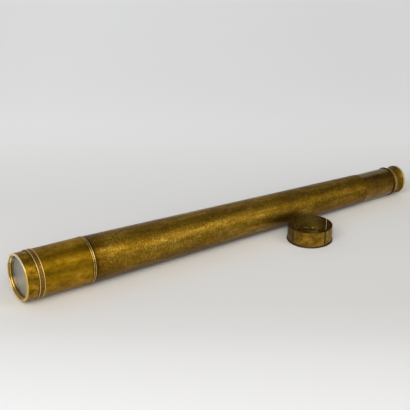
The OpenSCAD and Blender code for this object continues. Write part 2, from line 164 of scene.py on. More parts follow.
def radius_from_axis(tree, local):
    """Millimetres out from the axis."""
    across = add_node(tree, "ShaderNodeVectorMath", {0: local, 1: (0, 1, 1)}, operation="MULTIPLY")
    radius = add_node(tree, "ShaderNodeVectorMath", {0: across.outputs[0]}, operation="LENGTH")
    return radius.outputs["Value"]


def bands(tree, place, stops):
    """A colour or grey that changes with a coordinate; stops are (place, colour or grey) pairs."""
    first, last = stops[0][0], stops[-1][0]
    share = add_node(tree, "ShaderNodeMapRange", {"Value": place, "From Min": first, "From Max": last})
    ramp = add_node(
        tree, "ShaderNodeValToRGB", {"Fac": share.outputs["Result"]},
        stops=[((at - first) / (last - first), colour) for at, colour in stops],
    )
    return ramp.outputs["Color"]


def stripes(tree, up, stains, stops):
    """A painted shade in stripes along the axis, set by height, which the stains bend; stops are (mm up, shade)
    pairs.
    """
    bent = add_node(
        tree, "ShaderNodeMath", {0: stains, 1: STRIPE_BEND_MM, 2: up}, operation="MULTIPLY_ADD",
    )
    return bands(tree, bent.outputs[0], stops)


def coats(tree, colour, layers):
    """Lays coats over a colour in turn; each is how it blends, its colour, and a share from 0 to 1."""
    for blend, coat, share in layers:
        mix = add_node(
            tree, "ShaderNodeMix",
            {"Factor": share, "A": colour, "B": linear(coat) if isinstance(coat, str) else coat},
            data_type="RGBA", blend_type=blend,
        )
        colour = mix.outputs["Result"]
    return colour


def bare_metal(tree, shader, colour, tone, roughness, relief, relief_mm, rubbed=0.0):
    """Wires colour, a roughness that follows the tone, and relief into metal, smoother where rubbed is 1."""
    tree.links.new(colour, shader.inputs["Base Color"])
    dull, clean = roughness
    rough = add_node(
        tree, "ShaderNodeMapRange",
        {"Value": tone, "From Min": 0.35, "From Max": 0.65, "To Min": dull, "To Max": clean},
    )
    smooth = add_node(
        tree, "ShaderNodeMix", {"Factor": rubbed, "A": rough.outputs["Result"], "B": RUBBED_ROUGHNESS},
    )
    tree.links.new(smooth.outputs["Result"], shader.inputs["Roughness"])
    bump = add_node(
        tree, "ShaderNodeBump", {"Height": relief, "Distance": relief_mm / 1000, "Strength": 0.5},
    )
    tree.links.new(bump.outputs["Normal"], shader.inputs["Normal"])
    shader.inputs["Metallic"].default_value = 1.0


def tarnished_tube_brass():
    """Drawn brass tube, long unpolished: brown streaks, pale sparkle, fine marks around it, browner painted shade
    below.
    """
    material, tree, shader, local = start("tarnished_tube_brass", TUBE)
    sides = add_node(tree, "ShaderNodeSeparateXYZ", {"Vector": local})
    depth = sides.outputs["X"]
    broad = cloud(tree, local, 75, 18)
    patches = cloud(tree, local, 14, 6)
    # Real marks and grain are 0.1 to 0.2 mm wide: drawn near 1 mm, or they wouldn't show
    marks = cloud(tree, local, 0.9, 6, 1.0)
    grain = cloud(tree, local, 1.1, 1.1, 1.0)
    tone = blend_tones(tree, [(0.25, broad), (0.18, patches), (0.19, marks), (0.38, grain)])
    gold = add_node(
        tree, "ShaderNodeValToRGB", {"Fac": tone},
        stops=[(0.4, "#604810"), (0.47, "#7c5e16"), (0.53, "#96761f"), (0.58, "#ae8c38"), (0.64, "#ccb270")],
    )
    streaks = add_node(
        tree, "ShaderNodeMapRange",
        {"Value": cloud(tree, local, 50, 7, 2.0), "From Min": 0.5, "From Max": 0.66, "To Max": 0.5},
    )
    # Painted shade with a faint warm tint: darker and greyer just behind the ring, where it dims the highlight,
    # and towards the eye end
    tint_and_shade_along = bands(tree, depth, [
        (BARREL_FRONT_MM + 2.0, "#d2c49c"), (116.0, "#fffae0"), (240.0, "#ffffff"), (430.0, "#ffffff"),
        (520.0, "#e8e2d2"),
    ])
    pits = add_node(
        tree, "ShaderNodeMapRange",
        {"Value": cloud(tree, local, 2.4, 1.8, 0.0), "From Min": 0.72, "From Max": 0.8, "To Max": 0.7},
    )
    # Painted shade: browner and darker on the underside, towards the table
    painted_shade_below = add_node(
        tree, "ShaderNodeMapRange",
        {"Value": sides.outputs["Z"], "From Min": -4.0, "From Max": -14.0, "To Max": 0.6},
    )
    # Dirt and painted shade in the corner right behind the ring
    dirt_and_shade = bands(tree, depth, [(BARREL_FRONT_MM, 0.8), (BARREL_FRONT_MM + 4.0, 0.0)])
    colour = coats(tree, gold.outputs["Color"], [
        ("MIX", "#6e4c16", streaks.outputs["Result"]),
        ("MULTIPLY", tint_and_shade_along, 1.0),
        ("MIX", "#3c2a0c", pits.outputs["Result"]),
        ("MIX", "#5a4210", painted_shade_below.outputs["Result"]),
        ("MIX", "#33240a", dirt_and_shade),
    ])
    relief = blend_tones(tree, [(0.6, grain), (0.4, marks)])
    bare_metal(tree, shader, colour, tone, (0.48, 0.36), relief, 0.12)
    return material


def smooth_sleeve_brass():
    """Turned brass kept bright by handling: clear gold, painted shade in long stripes, dirt and painted shade at
    the beads.
    """
    material, tree, shader, local = start("smooth_sleeve_brass", TUBE)
    sides = add_node(tree, "ShaderNodeSeparateXYZ", {"Vector": local})
    stains = cloud(tree, local, 19, 9, 2.0)
    blots = cloud(tree, local, 6, 4, 2.0)
    # Polishing marks, drawn ten times as wide as they are
    fine = cloud(tree, local, 2.0, 2.0, 2.0)
    tone = blend_tones(tree, [(0.5, stains), (0.3, blots), (0.2, fine)])
    gold = add_node(
        tree, "ShaderNodeValToRGB", {"Fac": tone},
        stops=[(0.36, "#785a0e"), (0.46, "#926e0e"), (0.55, "#a47c14"), (0.65, "#bc922b")],
    )
    # Dirt and painted shade in the corners at both ends, beside the beads
    dirt_and_shade = bands(tree, sides.outputs["X"], [
        (SLEEVE_FRONT_MM, 0.75), (SLEEVE_FRONT_MM + 1.4, 0.0),
        (SLEEVE_END_MM - 1.4, 0.0), (SLEEVE_END_MM, 0.75),
    ])
    # Painted shade: stripes along the sleeve, darker at set heights around it, bent by the stains
    shade = stripes(tree, sides.outputs["Z"], stains, [
        (-20.0, 1.0), (4.0, 1.0), (8.0, 0.95), (11.0, 0.6), (17.5, 0.8), (23.0, 0.76), (29.0, 0.56),
        (33.0, 1.0),
    ])
    colour = coats(tree, gold.outputs["Color"], [("MULTIPLY", shade, 1.0), ("MIX", "#4a3410", dirt_and_shade)])
    bare_metal(tree, shader, colour, tone, (0.54, 0.46), fine, 0.05)
    return material


def lipped_cell_brass():
    """The cell: gold outside in stripes of painted shade, a lip rubbed pale all round and painted paler on top,
    duller walls inside, each edge bright with wear and painted highlight, a painted glint on the lip.
    """
    material, tree, shader, local = start("lipped_cell_brass", TUBE)
    sides = add_node(tree, "ShaderNodeSeparateXYZ", {"Vector": local})
    depth = sides.outputs["X"]
    radius = radius_from_axis(tree, local)
    stains = cloud(tree, local, 9, 7, 2.0)
    # Polishing marks, drawn ten times as wide as they are
    fine = cloud(tree, local, 1.6, 1.6, 2.0)
    tone = blend_tones(tree, [(0.7, stains), (0.3, fine)])
    gold = add_node(
        tree, "ShaderNodeValToRGB", {"Fac": tone},
        stops=[(0.34, "#65470e"), (0.46, "#8c6812"), (0.56, "#a57d1c"), (0.66, "#bc9334")],
    )
    # Dirt and painted shade in the corner at the cell's end, by the band
    dirt_and_shade = bands(tree, depth, [(CELL_END_MM - 1.6, 0.0), (CELL_END_MM, 0.75)])
    # Painted shade in stripes along the cell, set by height
    shade = stripes(tree, sides.outputs["Z"], stains, [
        (-20.0, 1.0), (6.0, 1.0), (11.0, 0.66), (16.0, 1.0), (24.0, 0.95), (29.0, 0.7), (31.0, 0.74),
        (33.0, 1.0),
    ])
    worn = bands(tree, depth, [(0.9, 1.0), (1.7, 0.0)])
    # The worn lip's colour, painted paler towards the top as a painted highlight
    pale = bands(tree, sides.outputs["Z"], [
        (-20.0, "#e0ba60"), (2.0, "#e0ba60"), (16.0, "#bc9a4c"), (27.0, "#f4e6b8"),
    ])
    # Inside: edges and the ledge at the glass painted bright, partly wear and partly painted highlight
    bezel = bands(tree, depth, [
        (0.0, "#ead48e"), (0.45, "#e6cc80"), (0.8, "#e4c074"), (2.3, "#c09a4e"), (2.45, "#e0c47c"),
        (2.9, "#dcbc70"), (3.3, "#a07e34"), (5.5, "#8a7238"), (5.8, "#b4b09c"),
    ])
    inside = add_node(
        tree, "ShaderNodeMapRange",
        {"Value": radius, "From Min": CELL_R_MM - 2.1, "From Max": CELL_R_MM - 1.9,
         "To Min": 1.0, "To Max": 0.0},
    )
    # A painted glint of a knock, which shows on the lip and inside it, not on the outside
    away = add_node(tree, "ShaderNodeVectorMath", {0: local, 1: LIP_GLINT_MM}, operation="DISTANCE")
    glint = add_node(
        tree, "ShaderNodeMapRange", {"Value": away.outputs["Value"], "From Min": 6.4, "From Max": 5.0},
    )
    on_lip = add_node(tree, "ShaderNodeMath", {0: worn, 1: inside.outputs["Result"]}, operation="MAXIMUM")
    glint_on_lip = add_node(
        tree, "ShaderNodeMath", {0: glint.outputs["Result"], 1: on_lip.outputs[0]}, operation="MULTIPLY",
    )
    colour = coats(tree, gold.outputs["Color"], [
        ("MULTIPLY", shade, 1.0),
        ("MIX", "#4a3410", dirt_and_shade),
        ("MIX", pale, worn),
        ("MIX", bezel, inside.outputs["Result"]),
        ("MIX", "#fff6d0", glint_on_lip.outputs[0]),
    ])
    bare_metal(tree, shader, colour, tone, (0.5, 0.42), fine, 0.06, inside.outputs["Result"])
    return material


def brown_collar_brass():
    """Brass under old lacquer: olive brown, painted shade above, fine turning lines, a low sheen, and a painted
    reflection of the backdrop on top.
    """
    material, tree, shader, local = start("brown_collar_brass", TUBE)
    sides = add_node(tree, "ShaderNodeSeparateXYZ", {"Vector": local})
    stains = cloud(tree, local, 22, 9)
    # Real turning lines are about 0.3 mm apart, drawn four times as coarse
    lines = cloud(tree, local, 1.3, 40, 2.0)
    tone = blend_tones(tree, [(0.65, stains), (0.35, lines)])
    brown = add_node(
        tree, "ShaderNodeValToRGB", {"Fac": tone},
        stops=[(0.38, "#624608"), (0.5, "#7e5c0c"), (0.62, "#9a781c")],
    )
    # Painted shade: darker on the upper part
    shade = bands(tree, sides.outputs["Z"], [(2.0, 1.0), (8.0, 0.62)])
    # Painted reflection of the pale backdrop along the top, its edge wandering with the turning lines
    top = add_node(
        tree, "ShaderNodeMath", {0: lines, 1: 1.6, 2: sides.outputs["Z"]}, operation="MULTIPLY_ADD",
    )
    dust_and_sheen = add_node(
        tree, "ShaderNodeMapRange",
        {"Value": top.outputs[0], "From Min": 19.0, "From Max": 20.6, "To Max": 0.42},
    )
    colour = coats(tree, brown.outputs["Color"], [
        ("MULTIPLY", shade, 1.0), ("MIX", "#d0b48c", dust_and_sheen.outputs["Result"]),
    ])
    bare_metal(tree, shader, colour, tone, (0.4, 0.32), lines, 0.03)
    shader.inputs["Coat Weight"].default_value = 0.4
    shader.inputs["Coat Roughness"].default_value = 0.3
    shader.inputs["Coat IOR"].default_value = 1.32
    return material


def dark_bush_brass():
    """The bush's thin flange, brown-black with old grease."""
    material, tree, shader, local = start("dark_bush_brass", TUBE)
    grease = cloud(tree, local, 4, 8)
    colour = add_node(
        tree, "ShaderNodeValToRGB", {"Fac": grease},
        stops=[(0.38, "#382406"), (0.5, "#4c340a"), (0.62, "#664912")],
    )
    bare_metal(tree, shader, colour.outputs["Color"], grease, (0.5, 0.4), grease, 0.03)
    return material


def worn_band_brass():
    """Mouth band: its two beads rubbed pale with painted highlight, red-brown old polish on the flat, dirt and
    painted shade beside the beads.
    """
    material, tree, shader, local = start("worn_band_brass", TUBE)
    sides = add_node(tree, "ShaderNodeSeparateXYZ", {"Vector": local})
    depth = sides.outputs["X"]
    stains = cloud(tree, local, 8, 10)
    # Polishing marks, drawn ten times as wide as they are
    fine = cloud(tree, local, 1.4, 1.8, 2.0)
    tone = blend_tones(tree, [(0.6, stains), (0.4, fine)])
    flat = add_node(
        tree, "ShaderNodeValToRGB", {"Fac": tone},
        stops=[(0.38, "#6a4618"), (0.5, "#866220"), (0.62, "#9c7a2a")],
    )
    front, back = CELL_END_MM, SLEEVE_FRONT_MM
    # Dirt and painted shade in the grooves beside the beads
    groove_dirt_and_shade = bands(tree, depth, [
        (front + 0.95, 0.0), (front + 1.25, 0.5), (front + 2.0, 0.0),
        (back - 2.0, 0.0), (back - 1.25, 0.5), (back - 0.95, 0.0),
    ])
    # The crests rubbed pale, with a painted highlight
    crest = bands(tree, depth, [
        (front, 0.0), (front + 0.1, 1.0), (front + 0.9, 1.0), (front + 1.2, 0.0),
        (back - 1.2, 0.0), (back - 0.9, 1.0), (back - 0.1, 1.0), (back, 0.0),
    ])
    colour = coats(tree, flat.outputs["Color"], [("MIX", "#3c2a0e", groove_dirt_and_shade), ("MIX", "#e0c97e", crest)])
    bare_metal(tree, shader, colour, tone, (0.5, 0.42), fine, 0.05)
    return material


def worn_ring_brass():
    """Ring behind the sleeve: two crests rubbed pale gold with painted highlight, dark lines of dirt and painted
    shade between and beside them.
    """
    material, tree, shader, local = start("worn_ring_brass", TUBE)
    sides = add_node(tree, "ShaderNodeSeparateXYZ", {"Vector": local})
    stains = cloud(tree, local, 6, 8)
    front, back = SLEEVE_END_MM, BARREL_FRONT_MM
    # Crests rubbed pale with a painted highlight; dirt and painted shade in the dark lines between and beside them
    rubbed = bands(tree, sides.outputs["X"], [
        (front, "#2e2008"), (front + 0.5, "#7c5c20"), (front + 1.1, "#fadc84"), (front + 1.7, "#947234"),
        ((front + back) / 2, "#3a2a0c"),
        (back - 1.7, "#947234"), (back - 1.1, "#fadc84"), (back - 0.5, "#7c5c20"), (back, "#201606"),
    ])
    shade = add_node(
        tree, "ShaderNodeValToRGB", {"Fac": stains}, stops=[(0.35, "#c4b08c"), (0.6, "#ffffff")],
    )
    colour = coats(tree, rubbed, [("MULTIPLY", shade.outputs["Color"], 1.0)])
    bare_metal(tree, shader, colour, stains, (0.34, 0.25), stains, 0.02)
    return material


def eyecup_brass():
    """Turned eyecup: brown gold, painted shadow by the flange, painted highlight on the neck and on the end's
    rubbed rim.
    """
    material, tree, shader, local = start("eyecup_brass", TUBE)
    sides = add_node(tree, "ShaderNodeSeparateXYZ", {"Vector": local})
    depth = sides.outputs["X"]
    radius = radius_from_axis(tree, local)
    stains = cloud(tree, local, 8, 6)
    # Polishing marks, drawn ten times as wide as they are
    fine = cloud(tree, local, 1.6, 2.0, 2.0)
    tone = blend_tones(tree, [(0.6, stains), (0.4, fine)])
    gold = add_node(
        tree, "ShaderNodeValToRGB", {"Fac": tone},
        stops=[(0.38, "#54400a"), (0.5, "#6c5010"), (0.62, "#86681e")],
    )
    neck, end = EYECUP_FRONT_MM, EYECUP_END_MM
    # Painted shadow next to the flange, then a painted highlight along the neck
    neck_shadow_and_highlight = bands(tree, depth, [
        (neck + 2.4, "#3a2808"), (neck + 4.2, "#b8975a"), (neck + 6.5, "#a08040"), (neck + 8.5, "#7c5a20"),
    ])
    strong = bands(tree, depth, [(neck + 6.5, 0.9), (neck + 8.5, 0.2), (neck + 10.0, 0.0)])
    # A painted highlight on the end's rim, which is also rubbed pale
    far = bands(tree, depth, [(end - 5.0, 0.0), (end - 3.2, 0.9)])
    outer = add_node(tree, "ShaderNodeMapRange", {"Value": radius, "From Min": 17.5, "From Max": 18.5})
    rim = add_node(tree, "ShaderNodeMath", {0: far, 1: outer.outputs["Result"]}, operation="MULTIPLY")
    colour = coats(tree, gold.outputs["Color"], [
        ("MIX", neck_shadow_and_highlight, strong), ("MIX", "#f4e0a8", rim.outputs[0]),
    ])
    bare_metal(tree, shader, colour, tone, (0.52, 0.44), fine, 0.04)
    return material


def sheet_cap_brass():
    """Thin sheet brass, soldered and fingered: mottled orange gold outside with one dull side, hazy olive
    gold inside, darker along the slots."""
    material, tree, shader, local = start("sheet_cap_brass", CAP)
    sides = add_node(tree, "ShaderNodeSeparateXYZ", {"Vector": local})
    radius = radius_from_axis(tree, local)
    stains = cloud(tree, local, 8, 11, 3.0)
    # Rolling grain, drawn ten times as coarse as it is
    fine = cloud(tree, local, 1.8, 1.8, 2.0)
    tone = blend_tones(tree, [(0.7, stains), (0.3, fine)])
    gold = add_node(
        tree, "ShaderNodeValToRGB", {"Fac": tone},
        stops=[(0.36, "#66480f"), (0.48, "#826320"), (0.6, "#a27f30")],
    )
    olive = add_node(
        tree, "ShaderNodeValToRGB", {"Fac": tone},
        stops=[(0.36, "#6a5620"), (0.48, "#8a722e"), (0.6, "#a58a46")],
    )
    outside = add_node(
        tree, "ShaderNodeMapRange",
        {"Value": radius, "From Min": CAP_BORE_R_MM, "From Max": CAP_BORE_R_MM + 0.25},
    )
    facing = add_node(
        tree, "ShaderNodeVectorMath", {0: local, 1: CAP_DULL_SIDE}, operation="DOT_PRODUCT",
    )
    dull = add_node(
        tree, "ShaderNodeMapRange",
        {"Value": facing.outputs["Value"], "From Min": 16.0, "From Max": 26.0, "To Max": 0.7},
    )
    dull_out = add_node(
        tree, "ShaderNodeMath", {0: dull.outputs["Result"], 1: outside.outputs["Result"]},
        operation="MULTIPLY",
    )
    # Darker along the slots, which lie on the Y and Z axes, above the plate
    off_z = add_node(tree, "ShaderNodeMath", {0: sides.outputs["Y"]}, operation="ABSOLUTE")
    off_y = add_node(tree, "ShaderNodeMath", {0: sides.outputs["Z"]}, operation="ABSOLUTE")
    from_slot = add_node(
        tree, "ShaderNodeMath", {0: off_z.outputs[0], 1: off_y.outputs[0]}, operation="MINIMUM",
    )
    beside = add_node(
        tree, "ShaderNodeMapRange",
        {"Value": from_slot.outputs[0], "From Min": 1.3, "From Max": 0.9, "To Max": 0.85},
    )
    tall = add_node(
        tree, "ShaderNodeMapRange", {"Value": sides.outputs["X"], "From Min": 4.4, "From Max": 5.0},
    )
    slot = add_node(
        tree, "ShaderNodeMath", {0: beside.outputs["Result"], 1: tall.outputs["Result"]},
        operation="MULTIPLY",
    )
    colour = coats(tree, olive.outputs["Color"], [
        ("MIX", gold.outputs["Color"], outside.outputs["Result"]),
        ("MIX", "#584420", dull_out.outputs[0]),
        ("MIX", "#33240a", slot.outputs[0]),
    ])
    bare_metal(tree, shader, colour, tone, (0.5, 0.4), fine, 0.06)
    return material


def soiled_plate_brass():
    """The cap's plate: greyish olive brass, its rim darker, grey solder in the corner inside with painted glints.
    """
    material, tree, shader, local = start("soiled_plate_brass", CAP)
    radius = radius_from_axis(tree, local)
    stains = cloud(tree, local, 7, 7, 3.0)
    drops = cloud(tree, local, 3, 3, 1.0)
    skin = add_node(
        tree, "ShaderNodeValToRGB", {"Fac": stains},
        stops=[(0.36, "#463c1a"), (0.5, "#584c26"), (0.64, "#6c5e32")],
    )
    bore = CAP_BORE_R_MM
    # Grey solder in the corner, its specks painted near-white as glints
    corner = bands(tree, radius, [(bore - 1.6, 0.0), (bore - 0.9, 1.0), (bore, 1.0), (bore + 0.3, 0.0)])
    glint_specks = add_node(tree, "ShaderNodeMapRange", {"Value": drops, "From Min": 0.54, "From Max": 0.62})
    solder_glints = add_node(
        tree, "ShaderNodeMath", {0: corner, 1: glint_specks.outputs["Result"]}, operation="MULTIPLY",
    )
    # Darker towards the rim's edge
    rim = bands(tree, radius, [(bore + 0.5, 0.0), (bore + 1.0, 0.7)])
    colour = coats(tree, skin.outputs["Color"], [
        ("MIX", "#e4e0d6", solder_glints.outputs[0]), ("MIX", "#3c2e18", rim),
    ])
    bare_metal(tree, shader, colour, stains, (0.55, 0.45), stains, 0.05)
    return material


def drawn_inner_brass():
    """The sliding tube, rubbed clean and bright along its length."""
    material, tree, shader, local = start("drawn_inner_brass", TUBE)
    streaks = cloud(tree, local, 60, 2.5)
    colour = add_node(
        tree, "ShaderNodeValToRGB", {"Fac": streaks},
        stops=[(0.36, "#94742a"), (0.5, "#b8913a"), (0.64, "#cfac5c")],
    )
    bare_metal(tree, shader, colour.outputs["Color"], streaks, (0.32, 0.22), streaks, 0.02)
    return material


def black_lacquer():
    """Matt black lacquer on the stops inside, greyed a little by dust."""
    material, tree, shader, local = start("black_lacquer", TUBE)
    dust_and_sheen = cloud(tree, local, 3, 3)
    colour = add_node(
        tree, "ShaderNodeValToRGB", {"Fac": dust_and_sheen}, stops=[(0.4, "#141312"), (0.7, "#2b2926")],
    )
    tree.links.new(colour.outputs["Color"], shader.inputs["Base Color"])
    shader.inputs["Roughness"].default_value = 0.8
    return material


def dusty_crown_glass():
    """Old crown glass with a grey film of dust on its front face, and a painted yellowish reflection on the cap's
    side.
    """
    material, tree, shader, local = start("dusty_crown_glass", TUBE)
    sides = add_node(tree, "ShaderNodeSeparateXYZ", {"Vector": local})
    film = cloud(tree, local, 20, 16)
    grey = add_node(
        tree, "ShaderNodeValToRGB", {"Fac": film}, stops=[(0.35, "#65656a"), (0.7, "#7c7c78")],
    )
    # Painted reflection of the brass: yellower towards the cap's side
    near_reflection = add_node(
        tree, "ShaderNodeMapRange",
        {"Value": sides.outputs["Y"], "From Min": 12.0, "From Max": -24.0, "To Max": 0.8},
    )
    colour = coats(tree, grey.outputs["Color"], [("MIX", "#a39a72", near_reflection.outputs["Result"])])
    tree.links.new(colour, shader.inputs["Base Color"])
    shader.inputs["Roughness"].default_value = 0.4
    shader.inputs["IOR"].default_value = 1.52
    return material


def clear_flint_glass():
    """Clear lens glass inside the tube."""
    material, tree, shader, local = start("clear_flint_glass", TUBE)
    film = cloud(tree, local, 6, 6)
    rough = add_node(tree, "ShaderNodeMapRange", {"Value": film, "To Min": 0.02, "To Max": 0.08})
    tree.links.new(rough.outputs["Result"], shader.inputs["Roughness"])
    shader.inputs["Base Color"].default_value = linear("#e6efec")
    shader.inputs["IOR"].default_value = 1.6
    shader.inputs["Transmission Weight"].default_value = 1.0
    return material


FINISHES = {
    tarnished_tube_brass: ["barrel"],
    smooth_sleeve_brass: ["front_sleeve"],
    lipped_cell_brass: ["objective_cell"],
    brown_collar_brass: ["eye_end_collar", "barrel_end_ring", "draw_stop_ring"],
    dark_bush_brass: ["guide_bush"],
    worn_band_brass: ["mouth_band"],
    worn_ring_brass: ["sleeve_end_ring"],
    eyecup_brass: ["eyecup", "dust_shutter", "shutter_pivot"],
    sheet_cap_brass: ["cap_skirt"],
    soiled_plate_brass: ["cap_plate"],
    drawn_inner_brass: [
        "draw_tube", "erector_tube", "erector_front_cell", "erector_rear_cell", "eyepiece_tube",
        "field_lens_ring", "eye_lens_cell",
    ],
    black_lacquer: [
        "objective_ring", "baffle_front", "baffle_middle", "baffle_rear", "erector_stop", "field_stop",
    ],
    dusty_crown_glass: ["crown_lens"],
    clear_flint_glass: ["flint_lens", "erector_front_lens", "erector_rear_lens", "field_lens", "eye_lens"],
}


def dress_nodes():
    """Gives each CAD piece its finish."""
    for finish, names in FINISHES.items():
        material = finish()
        for name in names:
            piece = nodes[name].data
            piece.materials.clear()
            piece.materials.append(material)


# The cell's profile, as in its solid but for the rounded edges: the mouth and the step of its bezel, the
# stop in front of the glass, the bore behind it, and the spigot that goes into the band
CELL_TURNS = 240
EDGE_MM = 0.45
MOUTH_R_MM = 27.3
STEP_MM = 2.4
STEP_FOOT_R_MM = 27.15
STEP_R_MM = 26.1
STOP_FRONT_MM = 5.8
STOP_FOOT_R_MM = 25.8
STOP_R_MM = 24.6
STOP_BACK_MM = 6.8
GLASS_BORE_R_MM = 25.9
SPIGOT_R_MM = 28.1
SPIGOT_END_MM = 23.8


def arc(centre, radius_mm, start_at, end_at, steps=6):
    """Points (mm along, mm out) about a centre; 0 degrees points outwards and 90 to the front."""
    angles = [math.radians(start_at + (end_at - start_at) * i / steps) for i in range(steps + 1)]
    return [(centre[0] - radius_mm * math.sin(a), centre[1] + radius_mm * math.cos(a)) for a in angles]


def turned_ring(name, profile, turns):
    """A closed ring turned about the telescope's axis from (mm along, mm out) points."""
    side = Vector((0, 1, 0))
    up = side.cross(eyeward)
    points, faces = [], []
    for i in range(turns):
        angle = 2 * math.pi * i / turns
        out = side * math.cos(angle) + up * math.sin(angle)
        points += [face + (eyeward * along + out * radius) / 1000 for along, radius in profile]
    count = len(profile)
    for i in range(turns):
        here, there = i * count, (i + 1) % turns * count
        for j in range(count):
            k = (j + 1) % count
            faces.append((here + j, here + k, there + k, there + j))
    mesh = bpy.data.meshes.new(name)
    mesh.from_pydata(points, [], faces)
    mesh.shade_smooth()
    mesh.set_sharp_from_angle(angle=math.radians(40))
    ring = bpy.data.objects.new(name, mesh)
    bpy.context.scene.collection.objects.link(ring)
    return ring


def cell_with_soft_edges():
    """The objective cell again, with its lip and the step before the glass rounded as wear leaves them."""
    profile = [(CELL_END_MM, CELL_R_MM)]
    profile += arc((LIP_ROUND_MM, CELL_R_MM - LIP_ROUND_MM), LIP_ROUND_MM, 0, 90, 10)
    profile += arc((EDGE_MM, MOUTH_R_MM + EDGE_MM), EDGE_MM, 90, 180)
    profile += [(STEP_MM, STEP_FOOT_R_MM)]
    profile += arc((STEP_MM + EDGE_MM, STEP_R_MM + EDGE_MM), EDGE_MM, 90, 180)
    profile += [
        (STOP_FRONT_MM, STOP_FOOT_R_MM), (STOP_FRONT_MM, STOP_R_MM), (STOP_BACK_MM, STOP_R_MM),
        (STOP_BACK_MM, GLASS_BORE_R_MM), (SPIGOT_END_MM, GLASS_BORE_R_MM), (SPIGOT_END_MM, SPIGOT_R_MM),
        (CELL_END_MM, SPIGOT_R_MM),
    ]
    cell = turned_ring("cell_with_soft_edges", profile, CELL_TURNS)
    cell.data.materials.append(nodes["objective_cell"].data.materials[0])
    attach(cell, "barrel")
    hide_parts("objective_cell")


# Camera, from the photograph's edges
CAMERA_PLACE = Vector((-0.7379, -1.0272, 0.6255))
CAMERA_TURN = math.radians(33.57)
CAMERA_DIP = math.radians(23.99)
CAMERA_ROLL = math.radians(0.08)
FIELD_OF_VIEW = math.radians(22.08)


def set_camera():
    """The photograph's camera."""
    data = bpy.data.cameras.new("camera")
    data.angle = FIELD_OF_VIEW
    camera = bpy.data.objects.new("camera", data)
    camera.location = CAMERA_PLACE
    level = Euler((math.pi / 2 - CAMERA_DIP, 0, -CAMERA_TURN)).to_matrix()
    camera.rotation_euler = (level @ Matrix.Rotation(CAMERA_ROLL, 3, "Z")).to_euler()
    bpy.context.scene.collection.objects.link(camera)
    bpy.context.scene.camera = camera


# The table runs on into a wall: a sweep of paper, drawn as one strip across
SWEEP_FRONT = -6.0
SWEEP_BEND = 2.6
SWEEP_RADIUS = 0.9
SWEEP_TOP = 1.3
SWEEP_SIDE = 7.0
BEND_STEPS = 24

# The paper's painted light changes towards the back, at this turn from +Y towards +X, from one distance from
# the origin to the other. Across that way painted shade darkens it a little over twice the half, left to right
PAPER_TURN = math.radians(33.57)
PAPER_NEAR = -0.3639
PAPER_FAR = 1.4361
PAPER_MIDDLE = -0.0468
PAPER_HALF = 0.3
PAPER_SIDES = (1.04, 0.95)

# The warm light that the brass throws on the paper: its tint, how far from under the tube's axis it is full
# and gone, and how far before the telescope's ends it starts to fade
WARM_PAPER = (1.04, 1.01, 0.955, 1.0)
WARM_FULL = 0.03
WARM_GONE = 0.08
WARM_SHORT = 0.02


